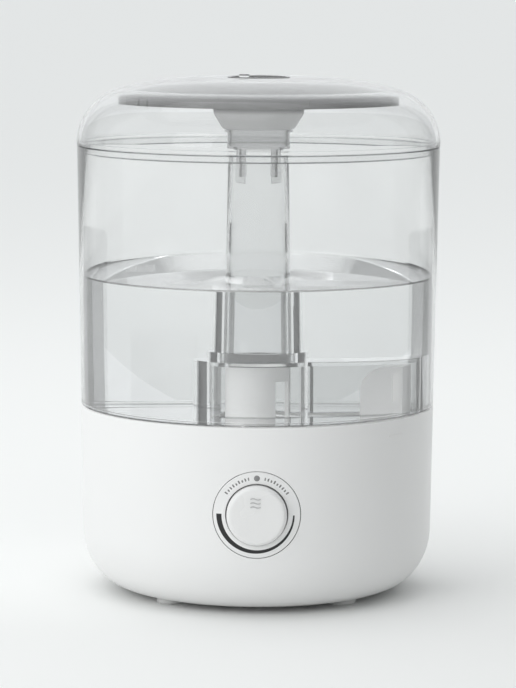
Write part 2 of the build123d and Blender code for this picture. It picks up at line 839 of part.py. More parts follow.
def lid_plate():
    under = dome_form(plate_inset)
    edge_turn = (plate_radius - shoulder_x) / (shoulder_reach - plate_inset)
    edge_z = lid_edge + (shoulder_rise - plate_inset) * sqrt(1 - edge_turn * edge_turn)
    roof = (under - dome_form(plate_inset + plate_wall)) & disc(plate_radius, lid_edge, top_z)
    skirt = ring(plate_radius, plate_radius - plate_wall, edge_z - plate_skirt, top_z) & under
    bend_z = funnel_low + funnel_bend_rise
    funnel = turned([
        (funnel_radius, mouth_z - 1), (funnel_bend_radius, bend_z), (cup_radius, funnel_low + 1.5),
        (nozzle_radius + 1.8, funnel_low), (nozzle_radius - 0.4, funnel_low),
        (cup_radius - plate_wall, funnel_low + 2), (funnel_bend_radius - plate_wall, bend_z + 0.4),
        (funnel_radius - plate_wall, mouth_z - 1),
    ])
    return (roof - disc(funnel_radius - plate_wall, lid_edge, top_z)) + skirt + funnel


def lid_nozzle():
    nozzle = ring(nozzle_radius + nozzle_flange, nozzle_radius - nozzle_wall, funnel_low - 1.3, funnel_low)
    nozzle = nozzle + ring(nozzle_radius, nozzle_radius - nozzle_wall, nozzle_low, funnel_low - 0.5)
    nozzle = nozzle + ring(nozzle_radius, finger_radius - finger_wall, nozzle_low, nozzle_low + 1.4)
    finger_low = nozzle_low - finger_reach
    sleeve = ring(finger_radius, finger_radius - finger_wall, finger_low, nozzle_low + 1)
    for step in range(finger_count):
        gap_angle = 360 / finger_count * step
        gap_width = 2 * (finger_radius * sin(radians(180 / finger_count)) - finger_width / 2)
        gap = Rot(0, 0, gap_angle) * Pos(finger_radius, 0, finger_low + finger_reach / 2 - 1.5)
        sleeve = sleeve - gap * Box(finger_radius, gap_width, finger_reach + 0.01)
    return nozzle + sleeve


# ---- Leads inside the base ----


def lead(points, radius=0.9):
    """A lead along straight runs joined by arcs as large as the runs allow."""
    bends = []
    for before, corner, after in zip(points, points[1:], points[2:]):
        arrive = Vector(*corner) - Vector(*before)
        leave = Vector(*after) - Vector(*corner)
        turn = radians(arrive.get_angle(leave))
        bends.append(0.45 * min(arrive.length, leave.length) / tan(turn / 2))
    path = FilletPolyline(*points, radius=bends)
    section = Plane(origin=path @ 0, z_dir=path % 0) * Circle(radius)
    cable = sweep(section, path=path)
    print("lead", round(path.length, 1), "mm, bends", [round(bend, 1) for bend in bends])
    return cable


board_under = drive_z - board_thickness
jack_back = recess_floor_x - recess_wall - 12


def inlet_lead():
    return lead([
        (jack_back, 0, recess_z), (jack_back - 12, 0, recess_z), (34, 9, 21), (18, 26, 28),
        (9, 38, 37), (9, 38, board_under),
    ])


def fan_lead():
    side = fan_size / 2
    return lead([
        (32, side, fan_low + 4), (32, side + 6, fan_low + 4), (24, 33, fan_low + 1),
        (15, 38, fan_low), (15, 38, board_under),
    ])


def transducer_lead():
    return lead([
        (0, 3, disc_low), (0, 3, disc_low - 10), (-3, 16, sump_low - 18), (-10, 30, sump_low - 22),
        (-12, 40, sump_low - 21), (-12, 40, board_under),
    ])


def control_lead():
    back = board_y + board_thickness
    return lead([
        (4, back, dial_z - 8), (4, back + 14, dial_z - 8), (-8, -26, dial_z - 14), (-14, -2, dial_z - 18),
        (-18, 20, dial_z - 17), (-21, 36, dial_z - 10), (-21, 36, board_under),
    ])


nodes = [
    base_housing, bottom_cover, cover_screws, rubber_feet, intake_filter, base_deck, deck_seal,
    deck_screws, mist_cowl, air_tower, air_duct, fan_frame, fan_stator, fan_screws, fan_impeller,
    rotor_magnet, fan_shaft, transducer_disc, transducer_seal, transducer_clamp, clamp_screws,
    drive_board, heat_sink, board_parts, board_screws, dial_plate, led_lens, indicator_led, knob_cap,
    pot_shaft, pot_body, pot_nut, control_board, control_screws, dc_inlet, inlet_pin, float_guide,
    float_clip, reed_switch, float_ring, float_magnet, tank_shell, tank_floor, mist_tube, valve_cap,
    valve_cap_seal, valve_cage, valve_spring, valve_plunger, plunger_seal, lid_dome, lid_plate,
    lid_nozzle, inlet_lead, fan_lead, transducer_lead, control_lead,
]

for make in nodes:
    export_step(make(), "parts/" + make.__name__ + ".step")
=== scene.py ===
# %% [markdown]
# # A cool mist humidifier
# A white base with one dial, a clear tank that stands on it half full of water, and a clear lid over a
# grey plate and funnel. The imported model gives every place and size, so each new piece is worked out from
# the boxes of the parts that it stands for. Lengths are metres and +Z is up.

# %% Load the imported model
import bmesh
import bpy
import json
from math import cos, pi, radians, sin, sqrt
from mathutils import Matrix, Vector


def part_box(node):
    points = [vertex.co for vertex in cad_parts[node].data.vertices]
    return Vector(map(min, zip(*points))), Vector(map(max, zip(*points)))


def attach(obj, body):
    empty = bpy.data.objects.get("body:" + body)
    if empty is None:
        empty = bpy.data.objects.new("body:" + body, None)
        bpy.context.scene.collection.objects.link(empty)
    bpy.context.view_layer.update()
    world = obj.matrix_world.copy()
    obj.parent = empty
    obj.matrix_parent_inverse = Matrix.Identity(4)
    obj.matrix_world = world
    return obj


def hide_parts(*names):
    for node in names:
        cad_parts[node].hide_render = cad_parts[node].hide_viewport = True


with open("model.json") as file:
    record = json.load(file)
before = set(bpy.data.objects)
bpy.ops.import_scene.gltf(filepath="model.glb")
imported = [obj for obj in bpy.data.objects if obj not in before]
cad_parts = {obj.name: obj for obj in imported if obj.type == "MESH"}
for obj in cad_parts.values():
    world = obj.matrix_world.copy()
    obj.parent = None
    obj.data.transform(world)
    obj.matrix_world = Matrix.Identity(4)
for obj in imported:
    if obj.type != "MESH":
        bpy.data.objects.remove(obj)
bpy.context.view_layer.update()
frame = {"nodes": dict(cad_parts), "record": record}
mm = 0.001
print("parts in the frame:", len(frame["nodes"]))

# %% [markdown]
# ## The camera
# A product of this kind is taken from a little above with a long lens, which keeps its sides nearly
# parallel. The camera stands 1.5 m in front and looks 7 degrees down. It is rolled by a third of a
# degree, as a camera set by hand is.

# %% Camera
camera_distance = 1.5034
camera_height = 0.3057
camera_offset = 0.2 * mm
camera_pitch = radians(7.08)
camera_roll = radians(0.29)
lens_millimetres = 163.4

camera_data = bpy.data.cameras.new("camera")
camera_data.lens = lens_millimetres
camera_data.sensor_width = 36
camera_data.sensor_fit = "AUTO"
camera = bpy.data.objects.new("camera", camera_data)
bpy.context.scene.collection.objects.link(camera)
tilt = Matrix.Rotation(radians(90) - camera_pitch, 4, "X") @ Matrix.Rotation(camera_roll, 4, "Z")
camera.matrix_world = Matrix.Translation((camera_offset, -camera_distance, camera_height)) @ tilt
bpy.context.scene.camera = camera
print("camera", [round(value, 4) for value in camera.location])

# %% [markdown]
# ## The floor and the light
# Clear plastic shows only what it bends and mirrors, so the room matters as much as the material. A wide
# pale floor under an even sky stands for a studio tent. A large soft lamp on the left shapes the white
# base, and another above lights the lid. Upright dark boards behind, at the sides, are seen only through
# clear skins: they draw the grey lines along the edges of the tank and the water that a flag beside the
# set draws in a studio. They are placed for the view from the front. A black board on the right takes
# soft light off that side of the base.

# %% Helpers that make an object
def add_object(name, mesh):
    """Turn a bmesh into an object at the origin."""
    data = bpy.data.meshes.new(name)
    mesh.to_mesh(data)
    mesh.free()
    piece = bpy.data.objects.new(name, data)
    bpy.context.scene.collection.objects.link(piece)
    return piece


def plain_colour(name, colour, roughness):
    """A plain finish for the things that aren't part of the object."""
    material = bpy.data.materials.new(name)
    material.use_nodes = True
    shader = material.node_tree.nodes["Principled BSDF"]
    shader.inputs["Base Color"].default_value = (*colour, 1)
    shader.inputs["Roughness"].default_value = roughness
    return material


# %% Floor
floor_size = 120.0
floor_mesh = bmesh.new()
bmesh.ops.create_grid(floor_mesh, x_segments=1, y_segments=1, size=floor_size / 2)
floor = add_object("floor", floor_mesh)
floor.data.materials.append(plain_colour("pale_floor", (0.88, 0.885, 0.875), 0.9))
print("floor", floor_size, "m across")


# %% Lamps and boards
lamp_target = Vector((0, 0, 0.12))


def soft_lamp(name, place, size, power):
    """A square soft lamp that looks at the object's middle and leaves no highlight of its own."""
    lamp = bpy.data.lights.new(name, "AREA")
    lamp.shape = "RECTANGLE"
    lamp.size = size
    lamp.size_y = size
    lamp.energy = power
    piece = bpy.data.objects.new(name, lamp)
    piece.location = place
    piece.rotation_euler = (lamp_target - Vector(place)).to_track_quat("-Z", "Y").to_euler()
    piece.visible_glossy = False
    bpy.context.scene.collection.objects.link(piece)


soft_lamp("left_lamp", (-1.2, -1.3, 0.9), 0.9, 6.5)
soft_lamp("top_lamp", (-0.3, 0.1, 1.5), 1.2, 5)


board_height = 1.7
board_distance = 0.85
board_middle = 0.86
shade_place = (0.62, -0.45, 0.5)


def hide_from(board, *rays):
    """Keep a board out of the sight of these kinds of ray."""
    for ray in rays:
        setattr(board, "visible_" + ray, False)


def side_board(name, turn, width, shade):
    """An upright board behind the object, turned by so many degrees from straight behind."""
    board = bmesh.new()
    bmesh.ops.create_grid(board, x_segments=1, y_segments=1, size=0.5)
    bmesh.ops.scale(board, verts=board.verts, vec=(width, board_height, 1))
    bmesh.ops.rotate(board, verts=board.verts, matrix=Matrix.Rotation(radians(90), 3, "X"))
    bmesh.ops.translate(board, verts=board.verts, vec=(0, board_distance, board_middle))
    bmesh.ops.rotate(board, verts=board.verts, matrix=Matrix.Rotation(radians(-turn), 3, "Z"))
    piece = add_object(name, board)
    piece.data.materials.append(plain_colour(name + "_paint", (shade, shade, shade), 0.9))
    hide_from(piece, "camera", "diffuse", "glossy", "shadow")


for side in (-1, 1):
    side_board("grey_board", side * 35, 0.12, 0.40)
    side_board("dark_board", side * 43, 0.11, 0.01)
    side_board("outer_board", side * 58, 0.36, 0.06)

shade_mesh = bmesh.new()
bmesh.ops.create_grid(shade_mesh, x_segments=1, y_segments=1, size=0.5)
bmesh.ops.rotate(shade_mesh, verts=shade_mesh.verts, matrix=Matrix.Rotation(radians(90), 3, "Y"))
bmesh.ops.translate(shade_mesh, verts=shade_mesh.verts, vec=shade_place)
shade_board = add_object("shade_board", shade_mesh)
shade_board.data.materials.append(plain_colour("shade_paint", (0.02, 0.02, 0.02), 0.9))
hide_from(shade_board, "camera", "glossy", "transmission", "shadow")

world = bpy.data.worlds.new("room")
bpy.context.scene.world = world
world.use_nodes = True
world.node_tree.nodes["Background"].inputs["Color"].default_value = (0.93, 0.95, 0.96, 1)
world.node_tree.nodes["Background"].inputs["Strength"].default_value = 0.93
bpy.context.scene.view_settings.view_transform = "Standard"

# %% [markdown]
# ## Finishes
# Nearly every piece is moulded plastic. A mould leaves a fine even grain, and colour and gloss that drift
# a little over the surface. One node group gives all three, and each material sets its own values. The
# shader itself stays in the material.

# %% Node group: moulded grain
def add_socket(group, name, way, kind, value=None):
    """One socket on a node group."""
    socket = group.interface.new_socket(name=name, in_out=way, socket_type=kind)
    if value is not None:
        socket.default_value = value


def link(tree, source, target):
    tree.links.new(source, target)


grain = bpy.data.node_groups.new("moulded_grain", "ShaderNodeTree")
add_socket(grain, "Color", "INPUT", "NodeSocketColor", (0.8, 0.8, 0.8, 1))
add_socket(grain, "Drift", "INPUT", "NodeSocketFloat", 0.03)
add_socket(grain, "Roughness", "INPUT", "NodeSocketFloat", 0.35)
add_socket(grain, "Unevenness", "INPUT", "NodeSocketFloat", 0.08)
add_socket(grain, "Grain Scale", "INPUT", "NodeSocketFloat", 2600.0)
add_socket(grain, "Color", "OUTPUT", "NodeSocketColor")
add_socket(grain, "Roughness", "OUTPUT", "NodeSocketFloat")
add_socket(grain, "Height", "OUTPUT", "NodeSocketFloat")


def node(tree, kind, **settings):
    """Add a node; settings named like its properties are set on it."""
    made = tree.nodes.new(kind)
    for name, value in settings.items():
        setattr(made, name, value)
    return made


def maths(tree, operation, first, second=None, clamp=False):
    """A Math node whose inputs are numbers or other nodes' outputs."""
    made = node(tree, "ShaderNodeMath", operation=operation, use_clamp=clamp)
    for socket, value in zip(made.inputs, (first, second)):
        if value is None:
            continue
        if isinstance(value, (int, float)):
            socket.default_value = value
        else:
            link(tree, value, socket)
    return made.outputs[0]


group_in = node(grain, "NodeGroupInput")
group_out = node(grain, "NodeGroupOutput")
place = node(grain, "ShaderNodeTexCoord").outputs["Object"]
fine = node(grain, "ShaderNodeTexNoise")
fine.inputs["Detail"].default_value = 2.0
link(grain, place, fine.inputs["Vector"])
link(grain, group_in.outputs["Grain Scale"], fine.inputs["Scale"])
broad = node(grain, "ShaderNodeTexNoise")
broad.inputs["Scale"].default_value = 22.0
broad.inputs["Detail"].default_value = 4.0
link(grain, place, broad.inputs["Vector"])
centred = maths(grain, "SUBTRACT", broad.outputs["Fac"], 0.5)
tint = maths(grain, "MULTIPLY", centred, group_in.outputs["Drift"])
lift = maths(grain, "ADD", tint, 1.0)
coloured = node(grain, "ShaderNodeVectorMath", operation="SCALE")
link(grain, group_in.outputs["Color"], coloured.inputs[0])
link(grain, lift, coloured.inputs["Scale"])
link(grain, coloured.outputs[0], group_out.inputs["Color"])
uneven = maths(grain, "MULTIPLY", centred, group_in.outputs["Unevenness"])
link(grain, maths(grain, "ADD", group_in.outputs["Roughness"], uneven, True), group_out.inputs["Roughness"])
link(grain, fine.outputs["Fac"], group_out.inputs["Height"])
print("group", grain.name, "nodes", len(grain.nodes))


# %% Makers of materials
def moulded(name, colour, roughness, drift=0.03, unevenness=0.08, grain_scale=2600.0, bump=0.02,
            coat=0.0, metallic=0.0, soft=0.0, glow=0.0):
    """An opaque finish: colour, gloss and grain from the group, the rest on the shader."""
    material = bpy.data.materials.new(name)
    material.use_nodes = True
    tree = material.node_tree
    shader = tree.nodes["Principled BSDF"]
    skin = node(tree, "ShaderNodeGroup", node_tree=grain)
    skin.inputs["Color"].default_value = (*colour, 1)
    skin.inputs["Drift"].default_value = drift
    skin.inputs["Roughness"].default_value = roughness
    skin.inputs["Unevenness"].default_value = unevenness
    skin.inputs["Grain Scale"].default_value = grain_scale
    link(tree, skin.outputs["Color"], shader.inputs["Base Color"])
    link(tree, skin.outputs["Roughness"], shader.inputs["Roughness"])
    relief = node(tree, "ShaderNodeBump")
    relief.inputs["Strength"].default_value = bump
    relief.inputs["Distance"].default_value = 0.2 * mm
    link(tree, skin.outputs["Height"], relief.inputs["Height"])
    link(tree, relief.outputs["Normal"], shader.inputs["Normal"])
    shader.inputs["Metallic"].default_value = metallic
    shader.inputs["Coat Weight"].default_value = coat
    shader.inputs["Coat Roughness"].default_value = 0.12
    shader.inputs["Subsurface Weight"].default_value = soft
    shader.inputs["Subsurface Radius"].default_value = (1.0, 1.0, 1.0)
    shader.inputs["Subsurface Scale"].default_value = 1.5 * mm
    shader.inputs["Emission Color"].default_value = (1, 1, 1, 1)
    shader.inputs["Emission Strength"].default_value = glow
    return material


def clear(name, colour, roughness, index, transmission=1.0, shade=0.9, unevenness=0.01, ripple=0.0,
          edges=(), shade_and_tint_colour=(0.30, 0.31, 0.31)):
    """A see-through finish; edges lists the middle and half height of each darker band: painted shade along a
    seam of the clear parts, and the smoke plate's own grey.
    """
    material = bpy.data.materials.new(name)
    material.use_nodes = True
    tree = material.node_tree
    shader = tree.nodes["Principled BSDF"]
    shader.inputs["Base Color"].default_value = (*colour, 1)
    shader.inputs["Transmission Weight"].default_value = transmission
    shader.inputs["IOR"].default_value = index
    shader.inputs["Roughness"].default_value = roughness
    if unevenness or ripple:
        skin = node(tree, "ShaderNodeGroup", node_tree=grain)
        skin.inputs["Roughness"].default_value = roughness
        skin.inputs["Unevenness"].default_value = unevenness
        skin.inputs["Grain Scale"].default_value = 40.0
        link(tree, skin.outputs["Roughness"], shader.inputs["Roughness"])
    # Darker bands by height: painted shade along the seams of the clear parts, where dark lines show between
    # them; on the smoke plate the band is its grey.
    if edges:
        height = node(tree, "ShaderNodeSeparateXYZ")
        link(tree, node(tree, "ShaderNodeTexCoord").outputs["Object"], height.inputs[0])
        mask = 0.0
        for middle, half in edges:
            off = maths(tree, "ABSOLUTE", maths(tree, "SUBTRACT", height.outputs["Z"], middle))
            near = maths(tree, "DIVIDE", maths(tree, "SUBTRACT", half, off), 0.3 * half, True)
            mask = maths(tree, "MAXIMUM", mask, near)
        band_mix = node(tree, "ShaderNodeMix", data_type="RGBA")
        link(tree, mask, band_mix.inputs[0])
        band_mix.inputs[6].default_value = (*colour, 1)
        band_mix.inputs[7].default_value = (*shade_and_tint_colour, 1)
        link(tree, band_mix.outputs[2], shader.inputs["Base Color"])
    if ripple:
        relief = node(tree, "ShaderNodeBump")
        relief.inputs["Strength"].default_value = ripple
        relief.inputs["Distance"].default_value = 1.0 * mm
        link(tree, skin.outputs["Height"], relief.inputs["Height"])
        link(tree, relief.outputs["Normal"], shader.inputs["Normal"])
    passing = node(tree, "ShaderNodeBsdfTransparent")
    passing.inputs["Color"].default_value = (shade, shade, shade, 1)
    mixed = node(tree, "ShaderNodeMixShader")
    link(tree, node(tree, "ShaderNodeLightPath").outputs["Is Shadow Ray"], mixed.inputs["Fac"])
    link(tree, shader.outputs["BSDF"], mixed.inputs[1])
    link(tree, passing.outputs["BSDF"], mixed.inputs[2])
    link(tree, mixed.outputs["Shader"], tree.nodes["Material Output"].inputs["Surface"])
    return material


# %% The finishes of this object
white_abs = moulded("white_abs", (0.84, 0.84, 0.835), 0.30, drift=0.02, bump=0.015, coat=0.15, soft=0.05)
knob_white = moulded("knob_white", (0.82, 0.82, 0.815), 0.27, drift=0.02, bump=0.01, coat=0.2, soft=0.05)
# White pieces behind the clear wall get a slight glow: painted light that brightens them where the haze and
# the bends of the clear wall dull them.
inner_white_glow = moulded("inner_white_glow", (0.88, 0.88, 0.875), 0.32, drift=0.02, bump=0.01, coat=0.1, glow=0.14)
# The raised waves are white plastic like the knob; their grey is painted shade for the thin shadows along
# them.
wave_shade_grey = moulded("wave_shade_grey", (0.50, 0.50, 0.50), 0.4, drift=0.02, bump=0.01)
foot_rubber = moulded("foot_rubber", (0.72, 0.72, 0.71), 0.6, drift=0.05, grain_scale=1500, bump=0.08)
seam_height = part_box("tank_shell")[1].z
skirt_height_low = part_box("lid_dome")[0].z
weld_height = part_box("tank_shell")[0].z
# Painted shade: thin darker bands at the tank's rim, at the lid skirt's lower edge and on the tank's floor
# just below the wall's foot stand in for the dark seam lines between the clear parts.
tank_seam_shade = [(seam_height - 0.1 * mm, 0.45 * mm)]
lid_seam_shade = [(skirt_height_low + 0.2 * mm, 0.5 * mm)]
floor_seam_shade = [(weld_height - 1.0 * mm, 0.3 * mm)]
clear_plastic = (0.975, 0.98, 0.98)
clear_tank = clear("clear_tank", clear_plastic, roughness=0.015, index=1.45, transmission=0.95, shade=0.985,
                   ripple=0.01, edges=tank_seam_shade)
clear_floor = clear("clear_floor", clear_plastic, roughness=0.015, index=1.45, transmission=0.955,
                    shade=0.985, edges=floor_seam_shade, shade_and_tint_colour=(0.55, 0.56, 0.56))
clear_lid = clear("clear_lid", clear_plastic, roughness=0.015, index=1.38, transmission=0.95, shade=0.985,
                  ripple=0.01, edges=lid_seam_shade)
funnel_bend_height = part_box("lid_plate")[0].z + 8.2 * mm
grey_band = [(funnel_bend_height + 8.5 * mm, 8.5 * mm)]
smoke_plate = clear("smoke_plate", (0.86, 0.86, 0.86), roughness=0.22, index=1.15, transmission=0.5,
                    shade=0.6, edges=grey_band, shade_and_tint_colour=(0.21, 0.21, 0.21))
smoke_nozzle = clear("smoke_nozzle", (0.80, 0.80, 0.80), roughness=0.04, index=1.45, transmission=0.93,
                     shade=0.9)
water_clear = clear("water_clear", (0.985, 0.99, 0.99), roughness=0.0, index=1.33, shade=0.99, unevenness=0.0)
print("materials", len(bpy.data.materials))

# %% [markdown]
# ## Turned pieces
# The base, the tank, the tube and the lid are all round, so each is an outline of radius and height
# turned once about the axis. The outline runs round the wall's section, so that inside and outside
# are one closed skin. Corners are eased by a small curve, because real mouldings have no knife edges
# and the easing is what catches the light.

# %% Helpers for outlines and turning
turn_steps = 192
ease_steps = 4
least_bend = radians(12)


def eased(outline, radius, closed=True):
    """Replace each corner of an outline by a small curve."""
    points = [Vector(point) for point in outline]
    count = len(points)
    result = []
    for index, corner in enumerate(points):
        if not closed and index in (0, count - 1):
            result.append(tuple(corner))
            continue
        before = points[index - 1] - corner
        after = points[(index + 1) % count] - corner
        bend = pi - before.angle(after)
        if bend < least_bend:
            result.append(tuple(corner))
            continue
        start = corner + before.normalized() * min(radius, 0.45 * before.length)
        end = corner + after.normalized() * min(radius, 0.45 * after.length)
        for step in range(ease_steps + 1):
            share = step / ease_steps
            point = start * (1 - share) ** 2 + corner * 2 * share * (1 - share) + end * share ** 2
            result.append(tuple(point))
    return result


def ellipse_points(centre, reach, rise, start, end, steps):
    """Points along part of an ellipse, angles in degrees."""
    turns = [radians(start + (end - start) * step / steps) for step in range(steps + 1)]
    return [(centre[0] + reach * cos(turn), centre[1] + rise * sin(turn)) for turn in turns]


def face_outwards(mesh):
    """Turn every face of a closed skin outwards; a skin that encloses less than nothing is inside out."""
    bmesh.ops.recalc_face_normals(mesh, faces=mesh.faces)
    mesh.normal_update()
    if mesh.calc_volume(signed=True) < 0:
        bmesh.ops.reverse_faces(mesh, faces=mesh.faces)


def turned_mesh(outline, steps=turn_steps, closed=True):
    """Spin an outline of radius and height pairs once round the axis."""
    mesh = bmesh.new()
    points = [mesh.verts.new((radius, 0, height)) for radius, height in outline]
    pairs = list(zip(points, points[1:]))
    if closed:
        pairs.append((points[-1], points[0]))
    edges = [mesh.edges.new(pair) for pair in pairs]
    bmesh.ops.spin(
        mesh, geom=points + edges, cent=(0, 0, 0), axis=(0, 0, 1), angle=2 * pi, steps=steps, use_merge=True
    )
    bmesh.ops.remove_doubles(mesh, verts=mesh.verts, dist=1e-6)
    face_outwards(mesh)
    return mesh


def smooth_by_angle(piece, angle=32.0):
    """Smooth shading, with the sharp edges kept sharp."""
    mesh = bmesh.new()
    mesh.from_mesh(piece.data)
    for face in mesh.faces:
        face.smooth = True
    for edge in mesh.edges:
        edge.smooth = len(edge.link_faces) == 2 and edge.calc_face_angle() < radians(angle)
    mesh.to_mesh(piece.data)
    mesh.free()


def finish_piece(piece, body, material, stands_for=(), angle=32.0):
    """Shade a piece, give it its finish and its body, and hide the parts it stands for."""
    smooth_by_angle(piece, angle)
    piece.data.materials.clear()
    piece.data.materials.append(material)
    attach(piece, body)
    if stands_for:
        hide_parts(*stands_for)
    shell = bmesh.new()
    shell.from_mesh(piece.data)
    volume = shell.calc_volume(signed=True)
    open_edges = sum(1 for edge in shell.edges if len(edge.link_faces) != 2)
    shell.free()
    measures = ("cm3", round(volume * 1e6, 1), "open edges", open_edges)
    print(piece.name, "faces", len(piece.data.polygons), *measures)


def cut(piece, tool):
    """Cut one piece out of another, and remove the one that cut."""
    change = piece.modifiers.new("cut", "BOOLEAN")
    change.object = tool
    change.operation = "DIFFERENCE"
    change.solver = "EXACT"
    bpy.context.view_layer.update()
    shaped = bpy.data.meshes.new_from_object(piece.evaluated_get(bpy.context.evaluated_depsgraph_get()))
    piece.modifiers.clear()
    piece.data = shaped
    bpy.data.objects.remove(tool)


def rod(name, radius, start, end, segments=96, scale=(1, 1, 1)):
    """A closed cylinder between two points, for cutting."""
    start, end = Vector(start), Vector(end)
    mesh = bmesh.new()
    bmesh.ops.create_cone(
        mesh, cap_ends=True, segments=segments, radius1=radius, radius2=radius, depth=(end - start).length
    )
    bmesh.ops.scale(mesh, verts=mesh.verts, vec=scale)
    turn = (end - start).to_track_quat("Z", "Y").to_matrix()
    bmesh.ops.rotate(mesh, verts=mesh.verts, matrix=turn)
    bmesh.ops.translate(mesh, verts=mesh.verts, vec=(start + end) / 2)
    return add_object(name, mesh)


# %% [markdown]
# ## The base shell
# The base is a tub with a wide elliptical bottom corner and a wall that leans out a little. A solid tub is
# turned, a smaller one is cut out of it, and the dial's hole and the oval recess for the power plug are
# cut through the wall. The recess keeps a cup behind it, so the inside stays closed. A short raised bar
# lies near the rim, to the right of the front.

# %% Base shell
housing_low, housing_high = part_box("base_housing")
rim_radius = housing_high.x
rim_z = housing_high.z
foot_z = housing_low.z
base_wall = 2.4 * mm
base_draft = 0.8 * mm
corner_reach = 22.0 * mm
corner_rise = 28.4 * mm
cover_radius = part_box("bottom_cover")[1].x + 0.1 * mm
lip_radius = 43.0 * mm
low_radius = rim_radius - base_draft
corner_centre = (low_radius - corner_reach, foot_z + corner_rise)


def wall_radius(height):
    """Radius of the base's outside at a height."""
    above = height - corner_centre[1]
    if above >= 0:
        return low_radius + base_draft * above / (rim_z - corner_centre[1])
    return corner_centre[0] + corner_reach * sqrt(max(0.0, 1 - (above / corner_rise) ** 2))


def tub(inset, top):
    """Outline of the base's outside, drawn in by inset, as a solid up to a height."""
    corner = ellipse_points(corner_centre, corner_reach - inset, corner_rise - inset, -90, 0, 28)
    return corner + [(rim_radius - inset, rim_z), (rim_radius - inset, top)]


outer = [(0, foot_z)] + tub(0, rim_z)[:-2]
outer += eased([(low_radius, corner_centre[1]), (rim_radius, rim_z), (0, rim_z)], 0.8 * mm, closed=False)[1:]
base_shell = add_object("base_shell", turned_mesh(outer, 256, closed=False))

lip_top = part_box("bottom_cover")[1].z + base_wall
hollow = [
    (0, foot_z - mm), (cover_radius, foot_z - mm), (cover_radius, foot_z + base_wall),
    (lip_radius, foot_z + base_wall), (lip_radius, lip_top),
]
hollow += tub(base_wall, rim_z + 5 * mm) + [(0, rim_z + 5 * mm)]
cavity = add_object("cavity", turned_mesh(hollow, 256, closed=False))
print("base rim", round(rim_radius / mm, 2), "mm at", round(rim_z / mm, 2), "mm")

# %% The power recess and the dial's hole
socket_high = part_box("dc_inlet")[1]
recess_floor = socket_high.x - 1.0 * mm
recess_z = 13.5 * mm
recess_half_width = 24.0 * mm
recess_half_height = 8.0 * mm
recess_wall = 1.6 * mm
socket_hole_radius = 4.3 * mm
dial_gap = 0.28 * mm
knob_low, knob_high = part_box("knob_cap")
dial_x = (knob_low.x + knob_high.x) / 2
dial_z = (knob_low.z + knob_high.z) / 2
knob_radius = (knob_high.x - knob_low.x) / 2
dial_radius = knob_radius + 6.2 * mm


def oval_rod(name, grow, start_x, end_x):
    """An oval bar along X at the recess's place."""
    stretch = ((recess_half_height + grow) / (recess_half_width + grow), 1, 1)
    return rod(name, recess_half_width + grow, (start_x, 0, recess_z), (end_x, 0, recess_z), 96, stretch)


cut(cavity, oval_rod("cup", recess_wall, recess_floor - recess_wall, rim_radius))
cut(base_shell, cavity)
cut(base_shell, oval_rod("recess", 0, recess_floor, rim_radius + 10 * mm))
socket_ends = ((recess_floor - 5 * mm, 0, recess_z), (rim_radius, 0, recess_z))
cut(base_shell, rod("socket_hole", socket_hole_radius, *socket_ends, 48))
dial_ends = ((dial_x, -0.05, dial_z), (dial_x, -0.11, dial_z))
cut(base_shell, rod("dial_hole", dial_radius + dial_gap, *dial_ends, 160))
finish_piece(base_shell, "base", white_abs, ["base_housing"])

# %% Raised mark near the rim
mark_turn = 50
mark_z = 83 * mm
mark_size = (10 * mm, 1.0 * mm, 0.7 * mm)
mark_sunk = 0.25 * mm
mark_mesh = bmesh.new()
bmesh.ops.create_cube(mark_mesh, size=1)
bmesh.ops.scale(mark_mesh, verts=mark_mesh.verts, vec=mark_size)
long_edges = [edge for edge in mark_mesh.edges if edge.calc_length() > mark_size[0] / 2]
bmesh.ops.subdivide_edges(mark_mesh, edges=long_edges, cuts=7, use_grid_fill=True)
for vert in mark_mesh.verts:
    vert.co.y -= sqrt(wall_radius(mark_z) ** 2 - vert.co.x ** 2) - mark_sunk
bmesh.ops.translate(mark_mesh, verts=mark_mesh.verts, vec=(0, 0, mark_z))
bmesh.ops.rotate(mark_mesh, verts=mark_mesh.verts, matrix=Matrix.Rotation(radians(mark_turn), 3, "Z"))
face_outwards(mark_mesh)
finish_piece(add_object("lift_mark", mark_mesh), "base", white_abs)

# %% [markdown]
# ## The dial
# A round plate lies flush in the front of the base, so its face follows the base's curve. It is turned
# flat about the dial's own axis and each point is then moved back on to the wall. The knob stands in a
# well in the plate. The printed scale runs from 9 o'clock down and round to 3 o'clock, thinning as it goes.

# %% Turn a piece about the dial's axis, and lay it on the wall
front_steps = 128


def front_turned(outline, closed=False):
    """Spin radius and depth pairs about the dial's axis; depth counts towards the viewer."""
    mesh = bmesh.new()
    points = [mesh.verts.new((dial_x + radius, -depth, dial_z)) for radius, depth in outline]
    pairs = list(zip(points, points[1:]))
    if closed:
        pairs.append((points[-1], points[0]))
    edges = [mesh.edges.new(pair) for pair in pairs]
    bmesh.ops.spin(
        mesh, geom=points + edges, cent=(dial_x, 0, dial_z), axis=(0, 1, 0), angle=2 * pi,
        steps=front_steps, use_merge=True,
    )
    bmesh.ops.remove_doubles(mesh, verts=mesh.verts, dist=1e-6)
    face_outwards(mesh)
    return mesh


def lay_on_wall(mesh):
    """Move every point back by the curve of the base's front."""
    for vert in mesh.verts:
        reach = wall_radius(vert.co.z)
        vert.co.y -= sqrt(reach ** 2 - vert.co.x ** 2)


